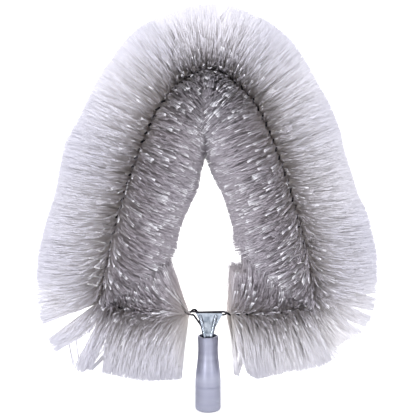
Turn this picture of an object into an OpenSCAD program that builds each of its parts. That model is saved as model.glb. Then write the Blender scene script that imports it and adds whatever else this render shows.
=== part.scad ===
// Cobweb brush: a loop of filaments on two twisted wires, a pressed clamp and a pole socket.
// Millimetres. The origin is the centre of the pole socket's mouth and +Z runs up the socket.
// The loop lies in the XZ plane, and its front faces -Y.

/* [Wire loop] */
// Bend radius of the loop's crown
crown_r = 35; // [30:1:45]
// Turn of the crown on each side of the middle, in degrees
crown_turn = 32; // [28:1:36]
// Bend radius of the shoulders
shoulder_r = 119; // [100:1:140]
// Turn of each shoulder, in degrees
shoulder_turn = 34; // [30:1:38]
// Radius of the long, slightly bowed sides
side_r = 770; // [600:10:1000]
// Turn of each side, in degrees
side_turn = 15; // [12:0.5:18]
// Bend radius of the bottom corners
corner_r = 17; // [15:1:24]
// Turn of each bottom corner, in degrees
corner_turn = 73; // [66:1:80]
// Radius of the soft bend between a corner and the bottom run
heel_r = 108; // [80:1:130]

/* [Twisted wires] */
// Diameter of each wire
wire_d = 2.4; // [1.8:0.1:2.6]
// Length of one full twist
twist_pitch = 20; // [18:0.5:26]
// Space between the two wires, where the filaments are pinched
pinch_gap = 1.3; // [1.2:0.1:2]
// Reach of the closing hook past the end of the twist
hook_reach = 2; // [1:0.5:3]

/* [Filaments] */
// Distance from the wires' axis to the trimmed tips
trim_r = 75; // [60:1:90]
// Pairs of strands per turn of the twist
pairs_per_turn = 4.5; // [3.5:0.1:5]
// Width of a strand at the pinch
strand_root_w = 0.6; // [0.4:0.05:0.8]
// Width of a strand at its tip
strand_tip_w = 1.0; // [0.6:0.05:1.4]
// Radius of the pinched middle that joins the strands
pinch_r = 0.26; // [0.2:0.01:0.28]
// Least length of bare twist between the clamp and the fill
bare_end = 3; // [2.5:0.5:8]
// Lean away from the clamp of the strands left of it, in degrees
left_lean = 18; // [0:1:20]
// Lean away from the clamp of the strands right of it, in degrees
right_lean = 3; // [0:1:20]
// Length of twist over which that lean dies out
lean_reach = 70; // [50:1:80]
// Clear distance from inward tips to the middle line of the loop
tip_clear = 3; // [2:0.5:6]

/* [Clamp] */
// Thickness of the sheet
sheet_t = 1.0; // [0.8:0.1:1.4]
// Height of the wings above the stem's neck
wing_h = 18.1; // [16:0.5:24]
// Reach of the right wing from the middle
wing_right = 16.4; // [15:0.2:17]
// Reach of the left wing from the middle
wing_left = 14.2; // [13:0.2:14.6]
// Outer diameter of the stem
stem_d = 14; // [12.6:0.2:15]
// Length of the stem below the neck
stem_len = 36; // [30:1:40]
// Depth below the neck at which the stem is fully round
round_drop = 5; // [4:0.5:7]
// Height above the neck at which the sheet is fully flat
flat_rise = 9; // [8:0.5:12]
// Height of the knee in the right wing's edge
knee_rise = 6.5; // [5:0.5:8]
// Reach of that knee past the stem
knee_reach = 4.2; // [3:0.2:6]
// Height of the right wing's upright edge
wing_edge = 2.4; // [1:0.2:4]
// Height above the neck at which the left edge leaves the stem
left_rise = 4.2; // [3:0.2:6]
// Visible height of the clamp's neck above the socket
neck_rise = 8.5; // [7:0.5:12]
// Diameter of the two pressed beads
bead_d = 5; // [4.4:0.1:5.4]
// Distance between the beads at the top
bead_top_w = 18; // [16:0.5:19]
// Distance between the beads at the bottom
bead_foot_w = 7.4; // [6.8:0.2:8]
// Distance of the beads' upper ends below the clamp's top
bead_drop = 3.4; // [3:0.1:6]
// Height of the beads' lower ends above the socket
bead_lift = 0.6; // [0:0.1:2]
// Depth of the beads' axes behind the sheet's inner face at the top
bead_sink = 0.4; // [0.2:0.1:0.8]
// Depth of the beads' axes behind the stem's face at the bottom
bead_foot_sink = 2.3; // [1.8:0.1:2.6]
// Distance of the punch marks below the clamp's top
punch_drop = 4.4; // [4:0.1:7]
// Diameter of the punch mark on each bead
punch_d = 2.2; // [1.6:0.1:2.6]
// Depth of the punch marks
punch_depth = 0.45; // [0.2:0.05:0.6]

/* [Pole socket] */
// Length of the socket
socket_len = 87; // [80:1:110]
// Outer diameter at the base
base_d = 30; // [28:0.5:36]
// Height of the straight base
base_h = 30; // [20:1:36]
// Outer diameter at the neck
neck_d = 23.4; // [23:0.1:26]
// Outer diameter at the top rim
rim_d = 24.4; // [24:0.1:27]
// Length of the flared rim
rim_len = 15; // [8:1:20]
// Rounding of the base's bottom edge
base_round = 2.5; // [1:0.1:3]
// Diameter of the open mouth round the clamp's stem
mouth_d = 20; // [19.6:0.1:21]
// Depth of that mouth
mouth_depth = 9; // [6:0.5:12]
// Diameter of the pole's hole, at the crests of its thread
pole_d = 19.2; // [16:0.1:22]
// Depth of the pole's hole
pole_depth = 34; // [25:1:38]
// Diameter of the hole that links the two
link_d = 11; // [8:0.5:12]
// Chamfer of the top rim's outer edge
rim_chamfer = 0.8; // [0.4:0.1:1.2]
// Height of the lower ring mark round the base
ring_low = 12; // [6:1:16]
// Distance of the upper ring mark below the top of the straight base
ring_drop = 1; // [1:0.5:6]
// Depth of the two ring marks
ring_depth = 0.25; // [0.1:0.05:0.4]

/* [Fits] */
// Clearance on each side of the wires between the clamp's shells
nip_gap = 0.1; // [0.05:0.05:0.3]
// Radial clearance of the stem in the socket
stem_fit = 0.05; // [0.02:0.01:0.2]
// Gap at the seam between the two halves of the stem
seam_gap = 0.1; // [0.05:0.05:0.3]
// Height of the crossing wire above the clamp's top edge
cross_gap = 0.35; // [0.2:0.05:1]
// Clearance of the wire ends from the stem's wall
leg_gap = 0.8; // [0.4:0.1:1]
// Distance between the clamp's right edge and the end of the twist
twist_gap = 1.6; // [1.2:0.1:3]

/* [Hidden] */
PARTS = ["crown", "arch", "shoulder", "side_high", "side_mid", "side_low", "corner", "run"];
$fn = 64;

// Levels along the socket's axis
neck_z = socket_len + neck_rise;
clamp_top_z = neck_z + wing_h;
stem_foot_z = neck_z - stem_len;
flat_z = neck_z + flat_rise;
round_z = neck_z - round_drop;
stem_r = stem_d / 2;

// The two wires lie on opposite sides of the twist's axis, the upper one just above the clamp
wire_r = wire_d / 2;
helix_r = wire_r + pinch_gap / 2;
pair_r = helix_r + wire_r;
run_z = clamp_top_z + cross_gap + wire_r - helix_r;
run_end_x = wing_right + twist_gap;

// Half of the loop, from the middle of the crown down to the clamp, as arcs that meet smoothly
function arc_len(r, turn) = r * turn * PI / 180;
heel_turn = 180 - crown_turn - shoulder_turn - side_turn - corner_turn;
ARC_TURNS = [crown_turn, shoulder_turn, side_turn, corner_turn, heel_turn];
ARC_LENS = [arc_len(crown_r, crown_turn), arc_len(shoulder_r, shoulder_turn),
    arc_len(side_r, side_turn), arc_len(corner_r, corner_turn), arc_len(heel_r, heel_turn)];

// A step along one arc: x, z and heading below the horizontal
function step(from, len, turn) =
    let (chord = turn > 0 ? 2 * len / (turn * PI / 180) * sin(turn / 2) : len,
        heading = from[2] + turn / 2)
    [from[0] + chord * cos(heading), from[1] - chord * sin(heading), from[2] + turn];

function walk(s, i = 0, at = [0, 0, 0]) =
    i >= len(ARC_LENS) ? step(at, s, 0)
    : s <= ARC_LENS[i] ? step(at, s, ARC_TURNS[i] * s / ARC_LENS[i])
    : walk(s - ARC_LENS[i], i + 1, step(at, ARC_LENS[i], ARC_TURNS[i]));

function sum(list, i = 0) = i >= len(list) ? 0 : list[i] + sum(list, i + 1);
arcs_len = sum(ARC_LENS);
heel_end = walk(arcs_len);
half_len = arcs_len + heel_end[0] - run_end_x;
crown_z = run_z - heel_end[1];

// Frame on the loop at a distance u from the crown's middle, positive to the right:
// the point, the direction of growing u, and the outward normal in the loop's plane
function spine(u) =
    let (w = walk(abs(u)), side = u < 0 ? -1 : 1)
    [[side * w[0], 0, crown_z + w[1]],
     [cos(w[2]), 0, -side * sin(w[2])],
     [side * sin(w[2]), 0, cos(w[2])]];

// Twist: a whole number of turns, so that wire a is at the bottom at both ends
turns = round(2 * half_len / twist_pitch);
function twist(u) = -360 * turns * (u + half_len) / (2 * half_len);
function around(f, angle) = cos(angle) * f[2] + sin(angle) * [0, 1, 0];

function unit(v) = v / norm(v);

// The part of v that is square to a direction, as a unit vector
function square_to(v, along) = unit(v - (v * along) * along);

// Closed tube of six sides along a list of points; each ring takes over the turn of the last one
module tube(path, r) {
    sides = 6;
    last = len(path) - 1;
    ways = [for (i = [0:last]) unit(path[min(i + 1, last)] - path[max(i - 1, 0)])];
    rings = [for (i = 0, across = square_to([0, 1, 0], ways[0]);
        i <= last;
        i = i + 1, across = i > last ? across : square_to(across, ways[i]))
        let (up = cross(across, ways[i]))
        for (k = [0:sides - 1])
            path[i] + r * (cos(360 * k / sides) * across + sin(360 * k / sides) * up)];
    walls = [for (i = [0:last - 1], k = [0:sides - 1])
        let (a = i * sides + k, b = i * sides + (k + 1) % sides)
        each [[a, b + sides, a + sides], [a, b, b + sides]]];
    start_cap = [for (k = [1:sides - 2]) [0, k + 1, k]];
    end_cap = [for (k = [1:sides - 2])
        [last * sides, last * sides + k, last * sides + k + 1]];
    polyhedron(rings, concat(walls, start_cap, end_cap), convexity = 10);
}

// Three points that round the corner at b, up to a distance r from it
function bend(a, b, c, r) =
    let (p = b + r * unit(a - b), q = b + r * unit(c - b))
    [p, (p + 2 * b + q) / 4, q];

// Wires inside the twist
rings_per_turn = 5;
function helix(phase) = [for (i = [0:turns * rings_per_turn])
    let (u = half_len * (2 * i / (turns * rings_per_turn) - 1), f = spine(u))
    f[0] + helix_r * around(f, twist(u) + phase)];

// Wire ends: three of them run between the clamp's shells and down its stem, spread round it
leg_r = stem_r - sheet_t - wire_r - leg_gap;
leg_foot_z = stem_foot_z + 2 * wire_d;
low_z = run_z - helix_r;
high_z = run_z + helix_r;
function leg(angle, z) = [leg_r * cos(angle), leg_r * sin(angle), z];
left_wing_bend = wing_left - wire_d;
a_left_turn = 150;
b_left_turn = 235;
a_right_turn = 0;

// From the foot of a leg up to the point where it leaves the stem for the point next
function leg_path(angle, next) =
    concat([leg(angle, leg_foot_z)], bend(leg(angle, leg_foot_z), leg(angle, round_z), next, 2));

// The left end of wire a runs down the clamp's left edge
module core_wire_a() {
    edge_top = [-run_end_x + wire_r, 0, low_z];
    edge_foot = [-stem_r - wire_r, 0, neck_z + left_rise - wire_r / 2];
    right_top = [wing_right - 2 * wire_d, 0, low_z];
    right_mid = [stem_r, 0, flat_z];
    left_leg = concat(leg_path(a_left_turn, edge_foot),
        bend(leg(a_left_turn, round_z), edge_foot, edge_top, 2),
        [edge_top + [-wire_r / 2, 0, 0]]);
    right_leg = concat(bend([run_end_x, 0, low_z], right_top, right_mid, wire_d),
        bend(right_top, right_mid, leg(a_right_turn, round_z), wire_d),
        bend(right_mid, leg(a_right_turn, round_z), leg(a_right_turn, leg_foot_z), 2),
        [leg(a_right_turn, leg_foot_z)]);
    color("DimGray") tube(concat(left_leg, helix(0), right_leg), wire_r);
}

// The right end of wire b crosses above the clamp, in front of its left end, and hooks over the twist
module core_wire_b() {
    left_top = [2 * wire_d - run_end_x, 0, high_z];
    left_mid = [-stem_r / 2, 0, flat_z];
    hook_r = pair_r + wire_r + nip_gap;
    left_leg = concat(leg_path(b_left_turn, left_mid),
        bend(leg(b_left_turn, round_z), left_mid, left_top, wire_d),
        bend(left_mid, left_top, [-run_end_x, 0, high_z], wire_d));
    crossing = [for (t = [0.3, 0.7, 1])
        [run_end_x - t * (run_end_x + left_wing_bend), -t * (wire_d + cross_gap), high_z]];
    hook = [for (angle = [60:-28:-80])
        [(angle + 80) / 140 * (run_end_x + hook_reach - left_wing_bend) - run_end_x - hook_reach,
            -hook_r * sin(angle), run_z + hook_r * cos(angle)]];
    color("DimGray") tube(concat(left_leg, helix(180), crossing, hook), wire_r);
}

// How far a strand may reach inwards before it meets the middle line of the loop:
// the radius of the largest circle inside the loop that touches it at u
LOOP_POINTS = [for (i = [0:96]) spine(half_len * (i / 48 - 1))[0]];
function inner_reach(f) = min([for (c = LOOP_POINTS)
    let (to = c - f[0], depth = -f[2] * to)
    depth > 0.02 * norm(to) && norm(to) > wire_r ? to * to / (2 * depth) : 10 * trim_r]);

// One pair stands at the crown's middle, and as many whole steps as fit follow on each side
pair_step = 2 * half_len / turns / pairs_per_turn;
side_pairs = floor((half_len - bare_end) / pair_step - 0.5);
fill_half = (side_pairs + 0.5) * pair_step;
function lean_at(u) =
    (u < 0 ? left_lean : right_lean) * max(0, 1 - (fill_half - abs(u)) / lean_reach);

// Tip of the strand that leaves the twist at u in the direction of an angle round it
function strand_tip(f, u, angle) =
    let (lean = lean_at(u),
        side = u < 0 ? -1 : 1,
        out = cos(lean) * around(f, angle) - side * sin(lean) * f[1],
        inward = -cos(angle) * cos(lean),
        room = inner_reach(spine(u - side * trim_r * sin(lean))) - tip_clear)
    [f[0] + out * (inward > 0.05 ? min(trim_r, room / inward) : trim_r), out];

// One ring of the pinched middle: three corners
function pinch_ring(u) =
    let (f = spine(u))
    [for (k = [0:2]) f[0] + pinch_r * around(f, twist(u) + 120 * k)];

// The middle's flat between corners 2 and 0, and the one between 0 and 1, carry the two strands.
// Both leave square to the line between the wires.
function strand_end(f, u, angle, flip) =
    let (t = strand_tip(f, u, angle),
        across = unit(cross(t[1], f[1])) * flip,
        along = cross(across, t[1]) * flip,
        w = strand_tip_w / 2)
    [t[0] + w * (0.58 * across - along), t[0] + w * (0.58 * across + along), t[0] - 1.15 * w * across];

function station(u) =
    let (f = spine(u), b = strand_root_w / 2)
    concat(pinch_ring(u - b), pinch_ring(u + b),
        strand_end(f, u, twist(u) + 90, -1), strand_end(f, u, twist(u) - 90, 1));

// Faces of one station, whose first point has index o: two strands and the free flat
function station_faces(o) = [
    [o + 1, o + 2, o + 5], [o + 1, o + 5, o + 4],
    [o + 0, o + 6, o + 7], [o + 0, o + 7, o + 3],
    [o + 3, o + 7, o + 8], [o + 3, o + 8, o + 4],
    [o + 4, o + 8, o + 1],
    [o + 1, o + 8, o + 6], [o + 1, o + 6, o + 0],
    [o + 6, o + 8, o + 7],
    [o + 0, o + 3, o + 10], [o + 0, o + 10, o + 9],
    [o + 3, o + 5, o + 11], [o + 3, o + 11, o + 10],
    [o + 5, o + 2, o + 11],
    [o + 2, o + 0, o + 9], [o + 2, o + 9, o + 11],
    [o + 9, o + 10, o + 11]];

// Walls of the pinched middle between two of its rings
function link_faces(a, b) = [for (k = [0:2])
    let (m = (k + 1) % 3)
    each [[a + k, b + m, b + k], [a + k, a + m, b + m]]];

// A stretch of fill from station number first to last; number 0 is at the crown's middle
module fill(first, last) {
    count = last - first + 1;
    start_u = (first - 0.5) * pair_step;
    points = concat(pinch_ring(start_u),
        [for (i = [0:count - 1]) each station(start_u + (i + 0.5) * pair_step)],
        pinch_ring(start_u + count * pair_step));
    end = 3 + 12 * count;
    faces = concat([[0, 2, 1]],
        link_faces(0, 3),
        [for (i = [0:count - 1]) each station_faces(3 + 12 * i)],
        [for (i = [1:count - 1]) each link_faces(3 + 12 * i - 9, 3 + 12 * i)],
        link_faces(end - 9, end),
        [[end, end + 1, end + 2]]);
    color("Silver") polyhedron(points, faces, convexity = 10);
}

// Stretches of about equal length on each side, the first of them at the crown
module bristles(part, side) {
    from = round(part * side_pairs / len(PARTS)) + 1;
    to = round((part + 1) * side_pairs / len(PARTS));
    if (side > 0) fill(part == 0 ? 0 : from, to);
    else fill(-to, -from);
}

// Front view of the clamp: wings, neck and stem. Wire a runs down its left edge.
module clamp_outline() {
    polygon([[-stem_r, stem_foot_z], [stem_r, stem_foot_z], [stem_r, neck_z],
        [stem_r + knee_reach, neck_z + knee_rise], [wing_right, clamp_top_z - wing_edge],
        [wing_right, clamp_top_z], [-wing_left, clamp_top_z], [-stem_r, neck_z + left_rise]]);
}

// The sheet swells from the flat wings to the round stem: a wedge between the two
module clamp_swell(inset) {
    flat = wire_r + nip_gap + sheet_t - inset;
    wide = wing_right + inset;
    hull() {
        translate([0, 0, round_z]) cylinder(r = stem_r - inset, h = 0.01, $fn = 32);
        translate([-wide, -flat, flat_z]) cube([2 * wide, 2 * flat, 0.01]);
    }
}

// One bead, along the sheet from below the top edge to the socket's mouth
module bead(side, r) {
    top = [side * bead_top_w / 2, bead_sink - wire_r - nip_gap, clamp_top_z - bead_drop];
    foot = [side * bead_foot_w / 2, bead_foot_sink - stem_r, socket_len + bead_lift];
    run = foot - top;
    translate(top) rotate([0, acos(run[2] / norm(run)), atan2(run[1], run[0])]) {
        cylinder(r = r, h = norm(run));
        sphere(r = r);
        translate([0, 0, norm(run)]) sphere(r = r);
    }
}

// A shallow round punch mark in a bead
module punch(side) {
    face = wire_r + nip_gap - bead_sink + bead_d / 2;
    translate([side * bead_top_w / 2, punch_depth - face, clamp_top_z - punch_drop])
        rotate([90, 0, 0]) cylinder(d = punch_d, h = sheet_t + bead_d);
}

// The front shell, from its flat wings to the half tube of the stem
module clamp_shell() {
    flat_in = wire_r + nip_gap;
    flat_out = flat_in + sheet_t;
    over = 1;
    difference() {
        union() {
            intersection() {
                rotate([90, 0, 0]) linear_extrude(stem_r + over) clamp_outline();
                union() {
                    translate([-wing_right, -flat_out, flat_z])
                        cube([2 * wing_right, flat_out, wing_h]);
                    clamp_swell(0);
                    translate([0, 0, stem_foot_z]) cylinder(r = stem_r, h = round_z - stem_foot_z);
                }
            }
            for (side = [-1, 1]) bead(side, bead_d / 2);
        }
        translate([-wing_right - over, -flat_in, flat_z - 0.01])
            cube([2 * (wing_right + over), flat_in + over, wing_h + over]);
        clamp_swell(sheet_t);
        translate([0, 0, stem_foot_z - over])
            cylinder(r = stem_r - sheet_t, h = round_z - stem_foot_z + over + 0.01);
        for (side = [-1, 1]) bead(side, bead_d / 2 - sheet_t);
        for (side = [-1, 1]) punch(side);
        translate([-wing_right - over, -seam_gap / 2, stem_foot_z - over])
            cube([2 * (wing_right + over), stem_d, wing_h + stem_len + 2 * over]);
    }
}

module clamp_front() {
    color("Gainsboro") clamp_shell();
}

module clamp_back() {
    color("Gainsboro") mirror([0, 1, 0]) clamp_shell();
}

// Half profile of the socket's outside: rounded foot, straight base, a soft taper to the neck
function foot_arc() = [for (a = [-90:15:0])
    [base_d / 2 - base_round + base_round * cos(a), base_round + base_round * sin(a)]];
function taper() =
    let (top = socket_len - rim_len, steps = 14)
    [for (i = [1:steps])
        let (t = i / steps)
        [neck_d / 2 + (base_d - neck_d) / 4 * (1 + cos(180 * t)), base_h + (top - base_h) * t]];

module ring_mark(z) {
    translate([0, 0, z]) rotate_extrude($fn = 96)
        translate([base_d / 2, 0]) rotate(45) square(ring_depth * sqrt(2), center = true);
}

module pole_socket() {
    over = 1;
    color("DarkGray") difference() {
        rotate_extrude($fn = 96) polygon(concat([[0, 0]], foot_arc(), taper(),
            [[rim_d / 2, socket_len - rim_chamfer], [rim_d / 2 - rim_chamfer, socket_len],
                [0, socket_len]]));
        translate([0, 0, -over]) cylinder(d = pole_d, h = pole_depth + over);
        translate([0, 0, -over]) cylinder(d = link_d, h = socket_len);
        translate([0, 0, stem_foot_z]) cylinder(d = stem_d + 2 * stem_fit, h = socket_len);
        translate([0, 0, socket_len - mouth_depth]) cylinder(d = mouth_d, h = mouth_depth + over);
        ring_mark(ring_low);
        ring_mark(base_h - ring_drop);
    }
}

pole_socket();
clamp_front();
clamp_back();
core_wire_a();
core_wire_b();
bristles(0, -1);  // bristles_crown_left
bristles(0, 1);  // bristles_crown_right
bristles(1, -1);  // bristles_arch_left
bristles(1, 1);  // bristles_arch_right
bristles(2, -1);  // bristles_shoulder_left
bristles(2, 1);  // bristles_shoulder_right
bristles(3, -1);  // bristles_side_high_left
bristles(3, 1);  // bristles_side_high_right
bristles(4, -1);  // bristles_side_mid_left
bristles(4, 1);  // bristles_side_mid_right
bristles(5, -1);  // bristles_side_low_left
bristles(5, 1);  // bristles_side_low_right
bristles(6, -1);  // bristles_corner_left
bristles(6, 1);  // bristles_corner_right
bristles(7, -1);  // bristles_run_left
bristles(7, 1);  // bristles_run_right
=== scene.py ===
"""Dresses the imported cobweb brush: dense filaments, smooth twisted wires, metal and plastic finishes."""

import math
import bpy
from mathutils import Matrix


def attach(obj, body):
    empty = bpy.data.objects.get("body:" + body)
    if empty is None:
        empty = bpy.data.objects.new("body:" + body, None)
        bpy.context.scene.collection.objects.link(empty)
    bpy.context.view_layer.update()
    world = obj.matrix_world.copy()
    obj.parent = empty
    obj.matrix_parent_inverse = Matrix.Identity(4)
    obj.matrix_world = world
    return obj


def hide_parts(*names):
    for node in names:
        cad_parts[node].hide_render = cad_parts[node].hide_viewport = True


bl_info = {
    "name": "Cobweb Brush",
    "version": (1, 0, 0),
    "blender": (4, 5, 0),
    "location": "View3D > Sidebar > Brush",
    "description": "Builds the filaments, wires and finishes of a loop-shaped cobweb brush",
    "category": "Object",
}

import bpy
import numpy as np
from bpy.props import (
    FloatProperty,
    FloatVectorProperty,
    IntProperty,
    PointerProperty,
    StringProperty,
)
from bpy.types import Operator, Panel, PropertyGroup
from mathutils import Vector

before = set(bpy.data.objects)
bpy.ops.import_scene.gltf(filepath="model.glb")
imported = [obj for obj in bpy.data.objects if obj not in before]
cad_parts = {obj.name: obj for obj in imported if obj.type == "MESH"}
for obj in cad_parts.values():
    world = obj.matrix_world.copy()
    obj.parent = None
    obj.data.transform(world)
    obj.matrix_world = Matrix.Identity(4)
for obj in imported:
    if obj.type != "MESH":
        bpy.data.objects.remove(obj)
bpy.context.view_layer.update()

MM = 0.001
BODY = "root"

# The loop and the clamp, in millimetres, as the part has them

# Arcs of half the loop from the crown's middle down to the bottom run: radius, and turn in degrees
LOOP_ARCS = ((35, 32), (119, 34), (770, 15), (17, 73), (108, 26))
# Height of the two bottom runs, and where they end beside the clamp
RUN_Z = 113.3
RUN_END_X = 18.0
TWIST_PITCH = 20.0
WIRE_R = 1.2
# From the twist's axis to the centre line of each wire
HELIX_R = 1.85
# The clamp's stem, and the heights between which the clamp turns from flat to round
STEM_R = 7.0
STEM_FOOT_Z = 59.5
SHEET_T = 1.0
FLAT_Z = 104.5
ROUND_Z = 90.5

# The fill's pieces on each side, from the crown down
PARTS = ("crown", "arch", "shoulder", "side_high", "side_mid", "side_low", "corner", "run")
# The part's pairs of strands on each side, without the one at the crown's middle, and in a turn of the twist
PAIRS_PER_SIDE = 91
PAIRS_PER_TURN = 4.5
# From the wire to the tips, as a rule
FREE_LEN = 75.0


def loop_table():
    """Start length, length, radius, start point and start heading of each arc, and the end of the last."""
    rows, s, x, z, h = [], 0.0, 0.0, 0.0, 0.0
    for r, turn in LOOP_ARCS:
        t = math.radians(turn)
        rows.append((s, r * t, r, x, z, h))
        x += r * (math.sin(h + t) - math.sin(h))
        z += r * (math.cos(h + t) - math.cos(h))
        h += t
        s += r * t
    return rows, s, x, z


ARC_ROWS, ARCS_LEN, HEEL_X, HEEL_Z = loop_table()
CROWN_Z = RUN_Z - HEEL_Z
HALF_LEN = ARCS_LEN + HEEL_X - RUN_END_X
TURNS = round(2 * HALF_LEN / TWIST_PITCH)
PAIR_STEP = 2 * HALF_LEN / TURNS / PAIRS_PER_TURN


def loop_at(u):
    """Point, direction and outward normal of the loop at distances u from the crown, right ones positive."""
    u = np.atleast_1d(np.asarray(u, float))
    s, side = np.abs(u), np.where(u < 0, -1.0, 1.0)
    x, z, h = HEEL_X - (s - ARCS_LEN), np.full_like(s, HEEL_Z), np.full_like(s, math.pi)
    for start, length, r, ax, az, ah in ARC_ROWS:
        on = (s >= start) & (s <= start + length)
        a = ah + (s[on] - start) / r
        x[on] = ax + r * (np.sin(a) - math.sin(ah))
        z[on] = az + r * (np.cos(a) - math.cos(ah))
        h[on] = a
    zero = np.zeros_like(s)
    point = np.stack([side * x, zero, CROWN_Z + z], 1)
    along = np.stack([np.cos(h), zero, -side * np.sin(h)], 1)
    outward = np.stack([side * np.sin(h), zero, np.cos(h)], 1)
    return point, along, outward


def heading_at(u):
    """Heading of the loop in radians, which grows from 0 at the crown to the right and falls to the left."""
    starts = [row[0] for row in ARC_ROWS] + [ARCS_LEN]
    headings = [row[5] for row in ARC_ROWS] + [math.pi]
    return np.sign(u) * np.interp(np.abs(u), starts, headings)


def read_off(places, table):
    """Values at some places from a table of place and value pairs, straight between its points."""
    known, values = zip(*table)
    return np.interp(places, known, values)


def twist_at(u):
    """Angle of wire a round the twist's axis, in radians."""
    return -2 * math.pi * TURNS * (np.asarray(u) + HALF_LEN) / (2 * HALF_LEN)


def around(outward, angle):
    """Directions square to the wire, turned from outward towards the back by an angle."""
    return np.cos(angle)[:, None] * outward + np.sin(angle)[:, None] * np.array([0.0, 1.0, 0.0])


def unit_rows(v):
    """Each row scaled to length 1."""
    return v / np.linalg.norm(v, axis=1)[:, None]


# Materials


def linear(hex_colour):
    """An sRGB hex colour as linear RGBA."""
    h = hex_colour.lstrip("#")
    out = []
    for i in (0, 2, 4):
        c = int(h[i : i + 2], 16) / 255
        out.append(c / 12.92 if c <= 0.04045 else ((c + 0.055) / 1.055) ** 2.4)
    return (*out, 1.0)


def set_stops(band, stops):
    """Gives a colour ramp its places with their colours or grey values."""
    while len(band.elements) < len(stops):
        band.elements.new(0.5)
    for element, (place, colour) in zip(band.elements, stops):
        element.position = place
        element.color = linear(colour) if isinstance(colour, str) else (colour, colour, colour, 1)


def add(tree, kind, settings=None, **inputs):
    """Adds a shader node.

    A setting is an attribute, or a ramp's stops. An input is a value or an output to link, and goes by its
    name, or by its number, as in i6.
    """
    node = tree.nodes.new(kind)
    for key, value in (settings or {}).items():
        if key == "stops":
            set_stops(node.color_ramp, value)
        else:
            setattr(node, key, value)
    for key, value in inputs.items():
        numbered = key[0] == "i" and key[1:].isdigit()
        socket = node.inputs[int(key[1:])] if numbered else node.inputs[key.replace("_", " ")]
        if isinstance(value, bpy.types.NodeSocket):
            tree.links.new(value, socket)
        else:
            socket.default_value = value
    return node


def new_material(name):
    """An empty node material and its tree."""
    mat = bpy.data.materials.new(name)
    mat.use_nodes = True
    mat.node_tree.nodes.clear()
    return mat, mat.node_tree


def seen_directly(tree):
    """1 for the camera's rays, straight or through something clear, and 0 for all others."""
    path = add(tree, "ShaderNodeLightPath")
    rays = {"i0": path.outputs["Is Camera Ray"], "i1": path.outputs["Is Transmission Ray"]}
    return add(tree, "ShaderNodeMath", {"operation": "MAXIMUM"}, **rays).outputs[0]


def polypropylene_filament(settings):
    """Drawn polypropylene filament, trimmed by a blade.

    Each thread is smooth and a little glossy. Threads inside the loop carry painted shade, deepest under the
    crown, for the shade where they crowd there, and the trimmed ends of the shining locks carry a painted
    highlight in near-white. Outer threads differ by up to a fifth in lightness.
    """
    mat, tree = new_material("drawn_polypropylene_filament")
    reach = add(tree, "ShaderNodeAttribute", {"attribute_name": "reach"}).outputs["Fac"]
    tone = add(tree, "ShaderNodeAttribute", {"attribute_name": "tone"}).outputs["Fac"]
    # Painted highlight: how far the ends of the shining locks are whitened
    cut = add(tree, "ShaderNodeAttribute", {"attribute_name": "cut"}).outputs["Fac"]
    # Painted shade: how much the threads inside the loop are darkened
    inner = add(tree, "ShaderNodeAttribute", {"attribute_name": "inner"}).outputs["Fac"]
    outer_stops = (
        (0.0, settings.root_hex),
        (0.35, settings.low_hex),
        (0.78, settings.mid_hex),
        (1.0, settings.tip_hex),
    )
    # Painted shade: the inside colours, darker than the outside ones and most at the tips, stand in for the
    # shade where the threads crowd
    inner_stops = ((0.0, settings.inner_root_shade_hex), (1.0, settings.inner_tip_shade_hex))
    outside = add(tree, "ShaderNodeValToRGB", {"stops": outer_stops}, Fac=reach).outputs["Color"]
    inside = add(tree, "ShaderNodeValToRGB", {"stops": inner_stops}, Fac=reach).outputs["Color"]
    body = add(tree, "ShaderNodeMix", {"data_type": "RGBA"}, i0=inner, i6=outside, i7=inside).outputs[2]
    # The tone sets the lightness; inside the loop it also carries the painted shade under the crown
    lightness = {"From_Min": -1.0, "To_Min": 0.62, "To_Max": 1.06}
    level = add(tree, "ShaderNodeMapRange", Value=tone, **lightness).outputs["Result"]
    toned = add(tree, "ShaderNodeHueSaturation", Value=level, Color=body).outputs["Color"]
    # Painted highlight: the shining locks' ends are mixed towards near-white
    white = linear(settings.painted_glint_hex)
    whitened = add(tree, "ShaderNodeMix", {"data_type": "RGBA"}, i0=cut, i6=toned, i7=white).outputs[2]
    gloss = {"Roughness": 0.42, "IOR": 1.49, "Specular_IOR_Level": 0.4}
    shader = add(tree, "ShaderNodeBsdfPrincipled", Base_Color=whitened, **gloss)
    add(tree, "ShaderNodeOutputMaterial", Surface=shader.outputs[0])
    return mat


def galvanised_wire():
    """Drawn steel wire under a dulled zinc coat: dark, with a soft sheen and fine grit."""
    mat, tree = new_material("dull_galvanised_wire")
    coords = add(tree, "ShaderNodeTexCoord").outputs["Object"]
    # Zinc bloom in patches of about 3 mm
    bloom = add(tree, "ShaderNodeTexNoise", Vector=coords, Scale=330.0, Detail=3.0).outputs["Fac"]
    tints = ((0.3, "#16141a"), (0.7, "#34323a"))
    colour = add(tree, "ShaderNodeValToRGB", {"stops": tints}, Fac=bloom).outputs["Color"]
    rough = add(tree, "ShaderNodeValToRGB", {"stops": ((0.3, 0.34), (0.7, 0.52))}, Fac=bloom).outputs["Color"]
    # Grit of about 0.4 mm
    grain = add(tree, "ShaderNodeTexNoise", Vector=coords, Scale=2500.0, Detail=2.0).outputs["Fac"]
    bump = add(tree, "ShaderNodeBump", Strength=0.15, Distance=0.0001, Height=grain).outputs["Normal"]
    metal = {"Base_Color": colour, "Metallic": 0.6, "Roughness": rough, "Normal": bump}
    shader = add(tree, "ShaderNodeBsdfPrincipled", **metal)
    add(tree, "ShaderNodeOutputMaterial", Surface=shader.outputs[0])
    return mat


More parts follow.
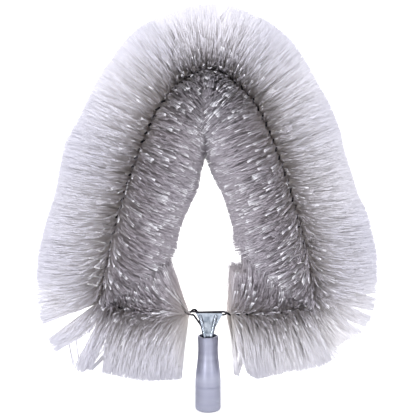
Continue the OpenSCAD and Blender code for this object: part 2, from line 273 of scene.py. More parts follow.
def zinc_plated_sheet():
    """Pressed steel sheet with bright zinc plating: cool blue-white metal with soft, wavy reflections."""
    mat, tree = new_material("bright_zinc_plated_sheet")
    coords = add(tree, "ShaderNodeTexCoord").outputs["Object"]
    # Plating varies over about 6 mm
    patch = add(tree, "ShaderNodeTexNoise", Vector=coords, Scale=160.0, Detail=3.0).outputs["Fac"]
    tints = ((0.3, "#67727f"), (0.7, "#b4bcc8"))
    colour = add(tree, "ShaderNodeValToRGB", {"stops": tints}, Fac=patch).outputs["Color"]
    rough = add(tree, "ShaderNodeValToRGB", {"stops": ((0.3, 0.12), (0.7, 0.24))}, Fac=patch).outputs["Color"]
    # Shallow dings from the press, about 1.5 mm apart
    dings = add(tree, "ShaderNodeTexNoise", Vector=coords, Scale=650.0, Detail=2.0).outputs["Fac"]
    bump = add(tree, "ShaderNodeBump", Strength=0.12, Distance=0.0003, Height=dings).outputs["Normal"]
    metal = {"Base_Color": colour, "Metallic": 1.0, "Roughness": rough, "Normal": bump}
    shader = add(tree, "ShaderNodeBsdfPrincipled", **metal)
    add(tree, "ShaderNodeOutputMaterial", Surface=shader.outputs[0])
    return mat


def moulded_socket_plastic(settings):
    """Injection-moulded polypropylene with a metallic grey pigment: satin, with flow lines round the axis."""
    mat, tree = new_material("moulded_grey_polypropylene")
    coords = add(tree, "ShaderNodeTexCoord").outputs["Object"]
    height = add(tree, "ShaderNodeSeparateXYZ", Vector=coords).outputs["Z"]
    # Flow lines of the pigment round the axis, about 8 mm apart
    along_axis = {"noise_dimensions": "1D"}
    lines = add(tree, "ShaderNodeTexNoise", along_axis, W=height, Scale=120.0, Detail=1.0).outputs["Fac"]
    # The satin varies over about 11 mm
    cloud = add(tree, "ShaderNodeTexNoise", Vector=coords, Scale=90.0, Detail=2.0).outputs["Fac"]
    tints = ((0.3, settings.dark_hex), (0.7, settings.light_hex))
    colour = add(tree, "ShaderNodeValToRGB", {"stops": tints}, Fac=lines).outputs["Color"]
    rough = add(tree, "ShaderNodeValToRGB", {"stops": ((0.3, 0.32), (0.7, 0.38))}, Fac=cloud).outputs["Color"]
    plastic = {"Base_Color": colour, "Metallic": 0.5, "Roughness": rough, "IOR": 1.49}
    shader = add(tree, "ShaderNodeBsdfPrincipled", **plastic)
    add(tree, "ShaderNodeOutputMaterial", Surface=shader.outputs[0])
    return mat


def studio_floor():
    """Matt white paper. It is a little brighter to the camera, so that it reads as white."""
    mat, tree = new_material("white_paper_sweep")
    lift = add(tree, "ShaderNodeMath", {"operation": "MULTIPLY"}, i0=seen_directly(tree), i1=0.55).outputs[0]
    paper = add(tree, "ShaderNodeBsdfDiffuse", Color=linear("#f1f1f2"))
    glow = add(tree, "ShaderNodeEmission", Color=(1, 1, 1, 1), Strength=lift)
    both = add(tree, "ShaderNodeAddShader", i0=paper.outputs[0], i1=glow.outputs[0])
    add(tree, "ShaderNodeOutputMaterial", Surface=both.outputs[0])
    return mat


# Meshes


def mesh_from_arrays(name, verts, faces, material, smooth=True):
    """A mesh object from vertices in millimetres and a list of face index arrays of equal width each."""
    me = bpy.data.meshes.new(name)
    me.vertices.add(len(verts))
    me.vertices.foreach_set("co", (np.asarray(verts) * MM).astype(np.float32).ravel())
    loops = np.concatenate([f.ravel() for f in faces])
    sizes = np.concatenate([np.full(len(f), f.shape[1]) for f in faces])
    starts = np.concatenate([[0], np.cumsum(sizes)[:-1]])
    me.loops.add(len(loops))
    me.loops.foreach_set("vertex_index", loops.astype(np.int32))
    me.polygons.add(len(sizes))
    me.polygons.foreach_set("loop_start", starts.astype(np.int32))
    me.polygons.foreach_set("use_smooth", np.full(len(sizes), smooth))
    me.update(calc_edges=True)
    me.validate()
    obj = bpy.data.objects.new(name, me)
    bpy.context.scene.collection.objects.link(obj)
    me.materials.append(material)
    return obj


def spaced(path, step):
    """A smooth curve through a list of points, resampled about every step millimetres."""
    p = np.asarray(path, float)
    p = np.vstack([2 * p[0] - p[1], p, 2 * p[-1] - p[-2]])
    out = []
    for i in range(1, len(p) - 2):
        count = max(2, int(round(np.linalg.norm(p[i + 1] - p[i]) / step)))
        t = np.linspace(0, 1, count, endpoint=False)[:, None]
        a, b, c, d = p[i - 1], p[i], p[i + 1], p[i + 2]
        square, cube = 2 * a - 5 * b + 4 * c - d, 3 * b - a - 3 * c + d
        out.append(0.5 * (2 * b + (c - a) * t + square * t**2 + cube * t**3))
    out.append(p[-2][None])
    return np.vstack(out)


# A tube's last ring at each end: its part of the tube's radius, and how far it stands out in the same unit
END_SHRINK = 0.35
END_OUT = 0.25


def tube(name, path, radius, sides, material):
    """A round tube along a path, with rounded-off ends, whose rings carry their turn along."""
    path = np.asarray(path, float)
    ways = unit_rows(np.gradient(path, axis=0))
    # Any direction that the path doesn't start in will do
    across = np.cross(ways[0], [0.0, 0.3, 1.0])
    a = np.linspace(0, 2 * math.pi, sides, endpoint=False)[:, None]
    rings = []
    for i, way in enumerate(ways):
        across = across - way * (across @ way)
        across /= np.linalg.norm(across)
        up = np.cross(way, across)
        rings.append(path[i] + radius * (np.cos(a) * across + np.sin(a) * up))
    first = path[0] + (rings[0] - path[0]) * END_SHRINK - ways[0] * radius * END_OUT
    last = path[-1] + (rings[-1] - path[-1]) * END_SHRINK + ways[-1] * radius * END_OUT
    rings = [first] + rings + [last]
    verts = np.vstack(rings)
    n, k = len(rings), np.arange(sides)
    base, nxt = (np.arange(n - 1) * sides)[:, None], (k + 1) % sides
    quads = np.stack([base + k, base + nxt, base + sides + nxt, base + sides + k], 2).reshape(-1, 4)
    caps = np.stack([k[::-1], (n - 1) * sides + k])
    return mesh_from_arrays(name, verts, [quads, caps], material)


# Wires

# Points of a wire's bent end lie this far apart, and its leg this far from the stem's sheet
END_STEP = 0.8
LEG_GAP = 0.8
LEG_FOOT_Z = STEM_FOOT_Z + 5.0
# The hook of wire b round the twist: where it ends, its length along the twist, its angles and its clearance
HOOK_END_X = -20.0
HOOK_LEN = 8.2
HOOK_ANGLES = range(60, -90, -20)
HOOK_GAP = 0.1


def leg(angle, z):
    """A point of a wire's leg inside the clamp's stem."""
    r = STEM_R - SHEET_T - WIRE_R - LEG_GAP
    return [r * math.cos(math.radians(angle)), r * math.sin(math.radians(angle)), z]


def helix(phase, rings_per_turn=16):
    """The twisted stretch of one wire, all round the loop."""
    u = np.linspace(-HALF_LEN, HALF_LEN, TURNS * rings_per_turn + 1)
    point, _, outward = loop_at(u)
    return point + HELIX_R * around(outward, twist_at(u) + phase)


def with_ends(left, twist, right):
    """The twisted stretch with its left end before it and its right end after it."""
    before = spaced(left + [twist[0]], END_STEP)[:-1]
    after = spaced([twist[-1]] + right, END_STEP)[1:]
    return np.vstack([before, twist, after])


def wire_a_path():
    """Its left end runs down the clamp's left edge, its right end goes between the shells."""
    low = RUN_Z - HELIX_R
    left = [
        leg(150, LEG_FOOT_Z), leg(150, ROUND_Z - 3), [-5.6, 0.9, 94.2], [-8.6, 0.1, 99.6],
        [-12.8, 0.0, 105.8], [-16.0, 0.0, 110.4], [-17.3, 0.0, low],
    ]
    right = [
        [16.0, 0.0, low], [12.2, 0.0, low - 0.8], [7.6, 0.0, FLAT_Z - 0.5], [4.6, 0.0, ROUND_Z + 4],
        leg(0, ROUND_Z - 2), leg(0, LEG_FOOT_Z),
    ]
    return with_ends(left, helix(0.0), right)


def wire_b_path():
    """Its left end goes between the shells. Its right end crosses above them and hooks round the twist."""
    high = RUN_Z + HELIX_R
    left = [
        leg(235, LEG_FOOT_Z), leg(235, ROUND_Z - 1), [-3.0, -0.5, 99.0], [-4.6, 0.0, FLAT_Z + 1],
        [-8.4, 0.0, 110.0], [-12.6, 0.0, high - 0.8], [-15.6, 0.0, high],
    ]
    right = [[13.0, -0.4, high], [6.0, -1.2, high], [-2.0, -2.0, high], [-9.0, -2.7, high]]
    hook_r = HELIX_R + 2 * WIRE_R + HOOK_GAP
    for angle in HOOK_ANGLES:
        t = (angle - HOOK_ANGLES[-1]) / (HOOK_ANGLES[0] - HOOK_ANGLES[-1])
        a = math.radians(angle)
        right.append([t * HOOK_LEN + HOOK_END_X, -hook_r * math.sin(a), RUN_Z + hook_r * math.cos(a)])
    return with_ends(left, helix(math.pi), right)


# Filaments

# Reach of the trimmed tips from the wire, by distance along the loop from the crown, negative to the left
TRIM = (
    (-409, 75), (-385, 76), (-355, 76.5), (-340, 75), (-325, 76), (-318, 79), (-312, 82), (-305, 79),
    (-299, 74), (-285, 77), (-262, 79), (-235, 78), (-205, 75.5), (-190, 76), (-165, 79), (-145, 81.5),
    (-125, 77.5), (-105, 75.5), (-80, 74.5), (-60, 74), (-42, 76), (-30, 75.5), (-15, 71), (0, 71.5),
    (15, 72.5), (30, 75.5), (45, 76), (60, 74), (80, 72), (100, 74.5), (130, 75), (150, 71.5), (200, 72),
    (220, 77), (262, 78), (285, 74), (297, 71), (303, 71), (307, 63), (311, 56), (315, 71), (325, 72),
    (345, 68.5), (365, 72.5), (380, 75), (395, 70), (409, 69),
)
# Spread of the trim, the share of filaments that stay shorter, and the least and most part that these keep
TRIM_SPREAD = 0.006
SHORT_SHARE = 0.06
SHORT_PART = (0.8, 0.98)
# From this cosine of their angle to inward on, filaments count as inner ones
INNER_FROM = 0.05
# The tips of the inner ones reach this part of the trim, left and right
INNER_LEFT = 0.965
INNER_RIGHT = 1.055
# They end this far from the middle of their room, in the mean, with this spread
ROOM_GAP = 1.0
ROOM_SPREAD = 0.08
# The tuft that stands up right of the clamp: its length along the wire and its height
UPRIGHT_LEN = 22
UPRIGHT_TOP = 53.0
# Bare wire beside the clamp
BARE_LEFT = 4.5
BARE_RIGHT = 5.5

# The tips spread apart where the loop bends, so the filaments stand closer there, by distance from the crown
CROWDING = ((0, 1.7), (30, 1.5), (60, 1.0), (280, 1.0), (298, 1.8), (312, 1.8), (328, 1.0), (410, 1.0))
# and are drawn thicker
THICKENING = ((0, 1.35), (30, 1.25), (60, 1.0), (280, 1.0), (298, 1.25), (312, 1.25), (328, 1.0))
# The tips of both sides mingle under the crown: the part of their room that they take, by distance from it
MINGLING = ((90, 1.14), (140, 1.0))
# The inner ones shade each other under the crown: how much tone that takes, by distance from it
CROWN_SHADE = ((40, 1.2), (90, 0.0))
# How often locks shine, by the cosine of their angle from outward
SHINING = ((-0.9, 0.0), (-0.8, 1.0), (0.0, 1.0), (0.2, 0.5), (0.35, 0.0))
# How much of the lean from crowding they take, by the same cosine
CROWDED = ((-0.325, 1.0), (0.175, 0.0))
# How much painted shade the inner ones carry, by that cosine from root to tip
PAINTED_SHADE_BY_COSINE = ((-1 / 3, 1.0), (1 / 3, 0.0))

# Inside the loop the filaments spread from its plane by this much, where outer ones gather towards it
NAP_SPREAD = 0.1
# A lock's size along the wire and, in radians, round it, and where in it its middle may lie
LOCK_LEN = 2.4
LOCK_TURN = math.radians(3.2)
LOCK_MIDDLE = (0.2, 0.8)
# How brightly a shining lock's filaments shine
SHINE = (0.7, 1.0)
# How far the tips of a shining lock, and of a plain one, move to the lock's middle
SHINING_CLING = 0.95
PLAIN_CLING = 0.1
# What clinging takes from a filament's straying
CLING_CALM = 0.6
# A tuft's length along the wire, and the spread of its lean
TUFT_LEN = 7.0
TUFT_LEAN = math.radians(0.35)
# Lean away from the clamp beside it, in degrees: in the mean, and how much more it is for inward ones
LEFT_LEAN = (15, 7)
RIGHT_LEAN = (5, -3)
# Roots lie this far to either side of their place
ROOT_SCATTER = 0.3
# Neighbours that share a tone lie within this length of wire, and this part of a tone is a filament's own
TONE_LEN = 1.3
OWN_TONE = 0.6
DARKEST_TONE = -0.5

# Rings of a filament's mesh as parts of its length, its width at each, its sides, and how much it bows
RING_PLACES = np.array([0.0, 0.055, 0.8, 1.0])
RING_WIDTHS = np.array([0.8, 0.95, 1.2, 1.25])
SIDES = 3
BOW = 0.5
# Least and most thickness of a filament as part of the setting, and what full shine adds
THICKNESS_RANGE = (0.8, 1.25)
SHINE_SWELL = 0.75
# Used part of a cell in the bake map, and the parts of that height below the strips' top and the tip's foot
CELL_FILL = 0.94
STRIPS_TOP = 0.9
TIP_FOOT = 0.92

# Where the viewer of the gaps stands: in front of the loop, and above the socket's foot
VIEW_DISTANCE = 778.0
VIEW_HEIGHT = 290.0
# The gaps push out points to the side within this many times their half-width, and this much more
GAP_REACH = 2.2
GAP_MARGIN = 4.0
# V-shaped gaps in the outline, as the viewer sees them: apex x and z, direction, half-angle, and length
GAPS = (
    (-129.4, 123.0, -152.8, 7.4, 95),
    (-134.0, 91.5, -135.0, 16.0, 70),
    (-121.5, 83.5, -101.4, 8.0, 60),
    (16.8, 437.0, 90.0, 12.5, 45),
    (176.0, 134.5, -2.0, 9.0, 40),
    (165.0, 121.0, -17.0, 7.0, 40),
    (158.0, 107.0, -30.0, 7.0, 40),
    (33.5, 70.0, -76.0, 10.0, 45),
)


def inner_room(point, outward):
    """Radius of the largest circle inside the loop that touches it at each point."""
    probe = loop_at(np.linspace(-HALF_LEN, HALF_LEN, 241))[0]
    # Roomier than the loop anywhere
    best = np.full(len(point), 1000.0)
    for q in probe:
        to = q - point
        depth = -(outward * to).sum(1)
        dist2 = (to * to).sum(1)
        # Neither the point itself nor its straight neighbours bound the circle
        ok = (depth > 0.02 * np.sqrt(dist2)) & (dist2 > 1.5)
        best = np.where(ok, np.minimum(best, dist2 / (2 * np.maximum(depth, 1e-6))), best)
    return best


def push_from_gaps(p):
    """Moves points sideways out of the V-shaped gaps, more strongly the nearer they are to a gap's middle."""
    for ax, az, turn, half, length in GAPS:
        dx, dz = math.cos(math.radians(turn)), math.sin(math.radians(turn))
        # The gaps run towards the viewer, so that they stay clear through the whole depth
        near = VIEW_DISTANCE / (VIEW_DISTANCE + p[..., 1])
        rx, rz = p[..., 0] * near - ax, (p[..., 2] - VIEW_HEIGHT) * near + VIEW_HEIGHT - az
        along = rx * dx + rz * dz
        side = -rx * dz + rz * dx
        wide = np.maximum(along, 0) * math.tan(math.radians(half))
        reach = GAP_REACH * wide + GAP_MARGIN
        inside = (along > 0) & (along < length) & (np.abs(side) < reach)
        moved = np.sign(side) * (wide + np.abs(side) * (1 - wide / reach))
        shift = np.where(inside, moved - side, 0.0) / near
        p[..., 0] -= shift * dz
        p[..., 2] += shift * dx
    return p


def places_along(first_u, last_u, per_mm, rng):
    """Where the filaments leave the twist between two distances along the loop, in order."""
    places = np.linspace(first_u, last_u, 60)
    crowding = read_off(np.abs(places), CROWDING)
    step = places[1] - places[0]
    total = np.concatenate([[0.0], np.cumsum((crowding[1:] + crowding[:-1]) / 2) * step])
    n = int(total[-1] * per_mm)
    return np.sort(np.interp(rng.uniform(0, total[-1], n), total, places))


def trimmed_length(u, way, outward, lean, rng):
    """Length of each filament: to the trimmed outline, or inside the loop to where it meets the others."""
    n = len(u)
    side = np.where(u < 0, -1.0, 1.0)
    trim = read_off(u, TRIM) * rng.normal(1.0, TRIM_SPREAD, n)
    trim = trim * np.where(rng.random(n) < SHORT_SHARE, rng.uniform(*SHORT_PART, n), 1.0)
    leant = loop_at(np.clip(u - side * trim * np.sin(lean), -HALF_LEN, HALF_LEN))
    room = inner_room(leant[0], leant[2]) - ROOM_GAP
    inward = -(way * outward).sum(1)
    taken = read_off(np.abs(u), MINGLING) * room * rng.normal(1.0, ROOM_SPREAD, n)
    free = taken / np.maximum(inward, INNER_FROM)
    inner_trim = trim * np.where(u < 0, INNER_LEFT, INNER_RIGHT)
    length = np.where(inward > INNER_FROM, np.minimum(inner_trim, free), trim)
    upright = (u > HALF_LEN - UPRIGHT_LEN) & (inward > 0)
    return np.where(upright, np.minimum(length, UPRIGHT_TOP / np.maximum(inward, 0.2)), length)


def roots(first_u, last_u, settings, rng):
    """Where filaments belong and where they leave the wires, as distances, and their angles from outward."""
    place = places_along(first_u, last_u, settings.per_mm, rng)
    n = len(place)
    # The wires pinch the filaments in a turning row, beyond which they fan out all round
    fan = rng.uniform(-1.0, 1.0, n) * math.pi / 2
    row_angle = twist_at(place) + np.where(rng.random(n) < 0.5, 0.5, -0.5) * math.pi
    # Where the wire that crosses in front would be in its way, one leaves beside that wire and leans back
    limit = math.radians(settings.fan_deg)
    spare = fan - np.clip(fan, -limit, limit)
    return place, place - spare * HALF_LEN / (math.pi * TURNS), row_angle + fan


def locks(place, angle, first_u, glint_share, rng):
    """How the tips of neighbours cling together: their moves along and round the wire, cling and shine."""
    row, column = ((place - first_u) / LOCK_LEN).astype(int), (angle / LOCK_TURN).astype(int)
    shape = (row.max() + 1, column.max() + 1)
    to_u = (row + rng.uniform(*LOCK_MIDDLE, shape)[row, column]) * LOCK_LEN + first_u - place
    to_a = (column + rng.uniform(*LOCK_MIDDLE, shape)[row, column]) * LOCK_TURN - angle
    share = glint_share * read_off(np.cos(angle), SHINING)
    bright = (rng.random(shape)[row, column] < share) * rng.uniform(*SHINE, len(place))
    cling = np.where(bright > 0, SHINING_CLING, PLAIN_CLING)
    return cling * to_u, cling * to_a, cling, bright


def shared(u, start, end, step, draw):
    """What neighbours along the wire share: values drawn at every step, and straight between them."""
    knots = np.arange(start, end, step)
    return np.interp(u, knots, draw(len(knots)))


def lean_from_clamp(u, angle):
    """Lean away from the clamp, in radians, which fades out within a filament's length of it."""
    up = np.clip(-np.cos(angle), -1, 1)
    near = np.clip(1 - (HALF_LEN - np.abs(u)) / FREE_LEN, 0, 1)
    left, right = (np.radians(mean + more * up) * near for mean, more in (LEFT_LEAN, RIGHT_LEAN))
    return np.where(u < 0, left, right)


def filament_paths(first_u, last_u, settings, rng):
    """Paths of the filaments between two distances along the loop, and what their finish needs."""
    place, u, root_angle = roots(first_u, last_u, settings, rng)
    n = len(u)
    point, along, outward = loop_at(u)
    angle = root_angle % (2 * math.pi)
    # Outside the loop they gather towards its plane, inside it they stand out as a thick nap
    gather = np.where(np.cos(angle) > 0, settings.flatness, -NAP_SPREAD)
    angle = (angle - gather * np.sin(2 * angle)) % (2 * math.pi)
    lock_u, lock_a, cling, bright = locks(place, angle, first_u, settings.glint_share, rng)
    angle = angle + lock_a
    stray = rng.normal(0.0, math.radians(settings.stray_deg), n) * (1 - CLING_CALM * cling)
    spread = stray + (place - u + lock_u) / FREE_LEN
    # Those that start beside their place in a bend still point the way that the bend does at their place
    spread = spread + (heading_at(place) - heading_at(u)) * np.cos(angle)
    # Crowded inside the loop, those that stand out of its plane there lean towards its middle
    angle = angle + math.radians(settings.crowd_deg) * np.sin(angle) * read_off(np.cos(angle), CROWDED)
    # Wider tufts share part of their lean
    tufts = shared(u, first_u - 12, last_u + 12, TUFT_LEN, lambda count: rng.normal(0.0, TUFT_LEAN, count))
    lean = lean_from_clamp(u, angle)
    turned = np.where(u < 0, lean, -lean) + spread + tufts
    way = np.cos(turned)[:, None] * around(outward, angle) + np.sin(turned)[:, None] * along
    length = trimmed_length(u, way, outward, lean, rng)
    bow = rng.normal(0.0, 1.0, (n, 3)) * (length / FREE_LEN)[:, None] * BOW
    bow -= way * (bow * way).sum(1)[:, None]
    start = point + along * rng.uniform(-ROOT_SCATTER, ROOT_SCATTER, n)[:, None]
    path = start[:, None] + way[:, None] * (length[:, None] * RING_PLACES)[..., None]
    # A bow is widest near the middle and carries on to the tip
    sag = 4 * RING_PLACES * (1 - RING_PLACES) + 0.6 * RING_PLACES**3
    path = path + bow[:, None] * sag[None, :, None]
    # The first short stretch still stands square to the wire
    path[:, 1] = start + around(outward, root_angle) * (length * RING_PLACES[1])[:, None]
    return u, push_from_gaps(path), along, outward, length, bright


def filament_faces(n):
    """Vertex indices of the side faces and of the tips of n filaments."""
    rings = len(RING_PLACES)
    base = np.arange(n)[:, None, None] * rings * SIDES + np.arange(rings - 1)[None, :, None] * SIDES
    k = np.arange(SIDES)[None, None]
    nxt = (k + 1) % SIDES
    quads = np.stack([base + k, base + nxt, base + SIDES + nxt, base + SIDES + k], -1).reshape(-1, 4)
    tips = (np.arange(n) * rings * SIDES)[:, None] + (rings - 1) * SIDES + np.arange(SIDES)
    return [quads, tips]


def bake_map(n):
    """A narrow cell of the bake map for each of n filaments: its three strips, with the tip's face above."""
    rings = len(RING_PLACES)
    columns = int(math.ceil(math.sqrt(n * 3)))
    lines = int(math.ceil(n / columns))
    i = np.arange(n)
    x0, y0 = (i % columns) / columns, (i // columns) / lines
    w, h = CELL_FILL / columns, CELL_FILL / lines
    seg = np.arange(rings - 1)[None, :, None]
    side = np.arange(SIDES)[None, None]
    ua = x0[:, None, None] + w * side / SIDES + 0 * seg
    ub = ua + w / SIDES
    va = y0[:, None, None] + h * STRIPS_TOP * seg / (rings - 1) + 0 * side
    vb = va + h * STRIPS_TOP / (rings - 1)
    corners = [np.stack(corner, -1) for corner in ((ua, va), (ub, va), (ub, vb), (ua, vb))]
    foot = y0 + h * TIP_FOOT
    tip_corners = [np.stack(corner, -1) for corner in ((x0, foot), (x0 + w, foot), (x0 + w / 2, y0 + h))]
    return np.concatenate([np.stack(corners, 3).reshape(-1, 2), np.stack(tip_corners, 1).reshape(-1, 2)])


def filament_finish(u, way, outward, length, bright, first_u, last_u, rng):
    """What the material reads at each vertex, in the mesh's order: reach, tone, the painted shade inside the
    loop and the painted highlight at the shining ends.
    """
    n, rings = len(u), len(RING_PLACES)
    reach = RING_PLACES[None] * length[:, None] / FREE_LEN
    # A filament's tone is partly its own and partly its neighbours'
    tone = OWN_TONE * rng.random(n)
    tone = tone + (1 - OWN_TONE) * shared(u, first_u - 5, last_u + 5, TONE_LEN, rng.random)
    # Inside the loop they carry painted shade, except for the shining locks, and the most of it at the crown
    inner = read_off((way * outward).sum(1), PAINTED_SHADE_BY_COSINE) * (1 - bright)
    tone = np.clip(np.clip(tone, 0, 1) - inner * read_off(np.abs(u), CROWN_SHADE), DARKEST_TONE, 1)
    # Painted highlight on the last two rings of the shining locks' filaments
    cut = np.zeros((n, rings))
    cut[:, -2] = bright * 0.9
    cut[:, -1] = bright
    return {
        "reach": np.repeat(reach.ravel(), SIDES),
        "tone": np.repeat(tone, rings * SIDES),
        "inner": np.repeat(inner, rings * SIDES),
        "cut": np.repeat(cut.ravel(), SIDES),
    }


def filament_object(name, first_u, last_u, settings, seed, material):
    """The filaments between two distances along the loop, as one mesh that carries what its finish needs."""
    rng = np.random.default_rng(seed)
    u, path, along, outward, length, bright = filament_paths(first_u, last_u, settings, rng)
    n = len(u)
    way = unit_rows(path[:, -1] - path[:, 0])
    across = unit_rows(np.cross(way, along))
    up = np.cross(way, across)
    turn = rng.uniform(0, 2 * math.pi, n)
    r = settings.thickness_mm / 2 * rng.uniform(*THICKNESS_RANGE, n) * (1 + SHINE_SWELL * bright)
    r = r * read_off(np.abs(u), THICKENING)
    corner = turn[:, None] + np.arange(SIDES) * 2 * math.pi / SIDES
    offset = np.cos(corner)[..., None] * across[:, None] + np.sin(corner)[..., None] * up[:, None]
    verts = path[:, :, None] + offset[:, None] * (r[:, None] * RING_WIDTHS)[..., None, None]
    obj = mesh_from_arrays(name, verts.reshape(-1, 3), filament_faces(n), material)
    finish = filament_finish(u, way, outward, length, bright, first_u, last_u, rng)
    for key, values in finish.items():
        layer = obj.data.attributes.new(key, "FLOAT", "POINT")
        layer.data.foreach_set("value", values.astype(np.float32))
    uv = bake_map(n).astype(np.float32)
    obj.data.uv_layers.new(name="OFBake").data.foreach_set("uv", uv.ravel())
    return obj


def part_range(part, side):
    """Distances along the loop between which a CAD fill node lies."""
    low = round(part * PAIRS_PER_SIDE / len(PARTS)) + 0.5
    high = round((part + 1) * PAIRS_PER_SIDE / len(PARTS)) + 0.5
    # The pair at the crown's middle belongs to the right
    if side > 0:
        return ((-0.5 if part == 0 else low) * PAIR_STEP, min(high * PAIR_STEP, HALF_LEN - BARE_RIGHT))
    return (-min(high * PAIR_STEP, HALF_LEN - BARE_LEFT), -(0.5 if part == 0 else low) * PAIR_STEP)


# Settings


class FilamentSettings(PropertyGroup):
    per_mm: FloatProperty(
        name="Filaments per mm", description="Filaments along each millimetre of wire",
        default=120.0, min=5.0, max=150.0,
    )
    thickness_mm: FloatProperty(
        name="Thickness", description="Filament thickness in mm", default=0.3, min=0.15, max=1.0,
    )
    fan_deg: FloatProperty(
        name="Fan", description="Spread round the wire at the pinch, in degrees to each side",
        default=35.0, min=5.0, max=60.0,
    )
    flatness: FloatProperty(
        name="Flatness", description="How much the outer filaments gather towards the loop's plane",
        default=0.4, min=0.0, max=0.45,
    )
    stray_deg: FloatProperty(
        name="Stray", description="Spread along the wire, in degrees", default=1.8, min=0.0, max=12.0,
    )
    crowd_deg: FloatProperty(
        name="Crowding", description="Lean towards the loop's middle of filaments inside it, in degrees",
        default=24.0, min=0.0, max=40.0,
    )
    # Share of the locks that shine: their ends carry the painted highlight, and they are drawn thicker
    glint_share: FloatProperty(
        name="White ends", description="Share of locks with whitened ends", default=0.13, min=0.0, max=1.0,
    )
    root_hex: StringProperty(name="Root colour", description="Colour at the wire", default="#fbf3ef")
    low_hex: StringProperty(
        name="Lower colour", description="Colour a third of the way out", default="#f8f4f4",
    )
    mid_hex: StringProperty(name="Upper colour", description="Colour towards the tips", default="#faf8fd")
    tip_hex: StringProperty(name="Tip colour", description="Colour at the tips", default="#d9d8e4")
    # Painted shade: the inside colours are darker, for the shade where the filaments crowd inside the loop
    inner_root_shade_hex: StringProperty(
        name="Inside root colour", description="Colour at the wire, inside the loop", default="#f2e9e7",
    )
    inner_tip_shade_hex: StringProperty(
        name="Inside tip colour", description="Colour at the tips, inside the loop", default="#bdb7c1",
    )
    # Painted highlight: the near-white of the shining locks' ends
    painted_glint_hex: StringProperty(name="Cut colour", description="Colour of a whitened end", default="#fafaff")


class WireSettings(PropertyGroup):
    sides: IntProperty(name="Sides", description="Sides of the wire's section", default=10, min=6, max=24)


class SocketSettings(PropertyGroup):
    dark_hex: StringProperty(name="Dark tone", description="Darker tone of the plastic", default="#989aae")
    light_hex: StringProperty(name="Light tone", description="Lighter tone of the plastic", default="#a2a4b6")


class StageSettings(PropertyGroup):
    distance: FloatProperty(
        name="Camera distance", description="From the camera to the loop",
        default=0.78, min=0.3, max=3.0, unit="LENGTH",
    )
    elevation: FloatProperty(
        name="Elevation", description="Camera's angle above the horizon, in degrees",
        default=4.0, min=-10, max=60,
    )
    target: FloatVectorProperty(
        name="Target", description="Point at the image's centre",
        default=(-0.0006, 0.0, 0.2363), unit="LENGTH",
    )
    frame_m: FloatProperty(
        name="Frame", description="Height of the frame at the loop",
        default=0.4762, min=0.1, max=2.0, unit="LENGTH",
    )


class BrushSettings(PropertyGroup):
    filaments: PointerProperty(type=FilamentSettings)
    wires: PointerProperty(type=WireSettings)
    socket: PointerProperty(type=SocketSettings)
    stage: PointerProperty(type=StageSettings)


# Operators


class BRUSH_OT_filaments(Operator):
    """Replace the plain strands by dense filaments, piece for piece"""

    bl_idname = "brush.filaments"
    bl_label = "Filaments"

    def execute(self, context):
        settings = context.scene.brush.filaments
        material = polypropylene_filament(settings)
        for side, word in ((-1, "left"), (1, "right")):
            for part, name in enumerate(PARTS):
                first, last = part_range(part, side)
                seed = 100 * part + 10 * (side + 1) + 3
                obj = filament_object(f"filaments_{name}_{word}", first, last, settings, seed, material)
                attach(obj, BODY)
                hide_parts(f"bristles_{name}_{word}")
        return {"FINISHED"}


class BRUSH_OT_wires(Operator):
    """Replace the faceted wires by smooth ones on the same route"""

    bl_idname = "brush.wires"
    bl_label = "Core wires"

    def execute(self, context):
        material = galvanised_wire()
        sides = context.scene.brush.wires.sides
        for name, path in (("core_wire_a", wire_a_path()), ("core_wire_b", wire_b_path())):
            obj = tube(f"smooth_{name}", path, WIRE_R, sides, material)
            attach(obj, BODY)
            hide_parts(name)
        return {"FINISHED"}


class BRUSH_OT_clamp(Operator):
    """Give both shells of the clamp their zinc-plated finish"""

    bl_idname = "brush.clamp"
    bl_label = "Clamp"

    def execute(self, context):
        material = zinc_plated_sheet()
        for name in ("clamp_front", "clamp_back"):
            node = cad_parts[name]
            for slot in node.material_slots:
                slot.material = material
        return {"FINISHED"}


class BRUSH_OT_socket(Operator):
    """Give the pole socket its moulded finish"""

    bl_idname = "brush.socket"
    bl_label = "Pole socket"

    def execute(self, context):
        material = moulded_socket_plastic(context.scene.brush.socket)
        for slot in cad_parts["pole_socket"].material_slots:
            slot.material = material
        return {"FINISHED"}


# Lights in metres and watts: name, place, aim, size and power
LIGHTS = (
    ("key_softbox", (-0.7, -1.1, 1.15), (0, 0, 0.22), (0.9, 0.9), 7.8),
    ("fill_softbox", (0.95, -1.0, 0.55), (0, 0, 0.2), (0.9, 0.9), 2.6),
    # Two strips draw the upright highlights on the socket and the clamp
    ("left_strip", (-0.55, -0.95, 0.17), (0, 0, 0.08), (0.08, 0.3), 2.0),
    ("right_strip", (0.62, -0.9, 0.17), (0, 0, 0.08), (0.08, 0.3), 1.0),
    ("top_softbox", (0.0, 0.35, 1.3), (0, 0, 0.25), (1.0, 0.6), 7.5),
)


def white_softbox(name, place, aim, size, power):
    """A rectangular white light at a place in metres, turned to its aim."""
    data = bpy.data.lights.new(name, "AREA")
    data.shape = "RECTANGLE"
    data.size, data.size_y = size
    data.energy = power
    obj = bpy.data.objects.new(name, data)
    obj.location = place
    obj.rotation_euler = (Vector(aim) - Vector(place)).to_track_quat("-Z", "Y").to_euler()
    bpy.context.scene.collection.objects.link(obj)


def paper_sweep():
    """A flat floor just under the socket's foot, then a wide bend up to a wall. Sizes are in millimetres."""
    width, front, back, bend, top, floor_z = 3000.0, -2500.0, 600.0, 700.0, 2600.0, -0.4
    line = [(front, floor_z), (back, floor_z)]
    for a in np.linspace(0.1, math.pi / 2, 14):
        line.append((back + bend * math.sin(a), floor_z + bend * (1 - math.cos(a))))
    line += [(back + bend, top)]
    verts = np.array([(x, y, z) for y, z in line for x in (-width, width)])
    k = np.arange(len(line) - 1)[:, None] * 2
    return mesh_from_arrays("paper_sweep", verts, [np.hstack([k, k + 1, k + 3, k + 2])], studio_floor())


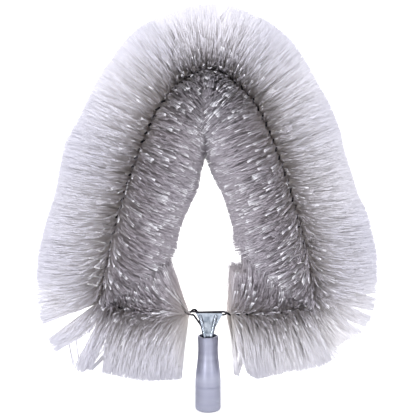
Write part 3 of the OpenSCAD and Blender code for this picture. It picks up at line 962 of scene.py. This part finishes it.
def studio_world():
    """Even white light from all round, a little weaker where the camera sees it."""
    world = bpy.data.worlds.new("studio")
    world.use_nodes = True
    tree = world.node_tree
    tree.nodes.clear()
    seen = seen_directly(tree)
    level = add(tree, "ShaderNodeMapRange", Value=seen, To_Min=1.25, To_Max=1.0).outputs["Result"]
    sky = add(tree, "ShaderNodeBackground", Color=(1, 1, 1, 1), Strength=level)
    add(tree, "ShaderNodeOutputWorld", Surface=sky.outputs[0])
    return world


def front_camera(settings):
    """A camera in front of the brush, a little raised, that looks at the target."""
    data = bpy.data.cameras.new("camera")
    data.sensor_fit = "AUTO"
    data.angle = 2 * math.atan(settings.frame_m / 2 / settings.distance)
    obj = bpy.data.objects.new("camera", data)
    rise = math.radians(settings.elevation)
    to_camera = Vector((0, -math.cos(rise), math.sin(rise)))
    obj.location = Vector(settings.target) + to_camera * settings.distance
    obj.rotation_euler = (-to_camera).to_track_quat("-Z", "Y").to_euler()
    bpy.context.scene.collection.objects.link(obj)
    return obj


class BRUSH_OT_stage(Operator):
    """Set the white paper sweep, soft lights and the camera"""

    bl_idname = "brush.stage"
    bl_label = "Stage"

    def execute(self, context):
        paper_sweep()
        context.scene.world = studio_world()
        for light in LIGHTS:
            white_softbox(*light)
        context.scene.camera = front_camera(context.scene.brush.stage)
        context.scene.view_settings.view_transform = "Standard"
        return {"FINISHED"}


class BRUSH_PT_panel(Panel):
    """Lists the brush's pieces and their settings"""

    bl_idname = "BRUSH_PT_panel"
    bl_label = "Cobweb brush"
    bl_space_type = "VIEW_3D"
    bl_region_type = "UI"
    bl_category = "Brush"

    def draw(self, context):
        settings = context.scene.brush
        groups = (
            ("brush.filaments", settings.filaments),
            ("brush.wires", settings.wires),
            ("brush.clamp", None),
            ("brush.socket", settings.socket),
            ("brush.stage", settings.stage),
        )
        for operator, group in groups:
            box = self.layout.box()
            box.operator(operator)
            if group is not None:
                for key in group.__annotations__:
                    box.prop(group, key)


CLASSES = (
    FilamentSettings, WireSettings, SocketSettings, StageSettings, BrushSettings,
    BRUSH_OT_filaments, BRUSH_OT_wires, BRUSH_OT_clamp, BRUSH_OT_socket, BRUSH_OT_stage, BRUSH_PT_panel,
)


def register():
    for cls in CLASSES:
        bpy.utils.register_class(cls)
    bpy.types.Scene.brush = PointerProperty(type=BrushSettings)


def unregister():
    del bpy.types.Scene.brush
    for cls in reversed(CLASSES):
        bpy.utils.unregister_class(cls)


def main():
    register()
    bpy.ops.brush.socket()
    bpy.ops.brush.clamp()
    bpy.ops.brush.wires()
    bpy.ops.brush.filaments()
    bpy.ops.brush.stage()


if __name__ == "__main__":
    main()
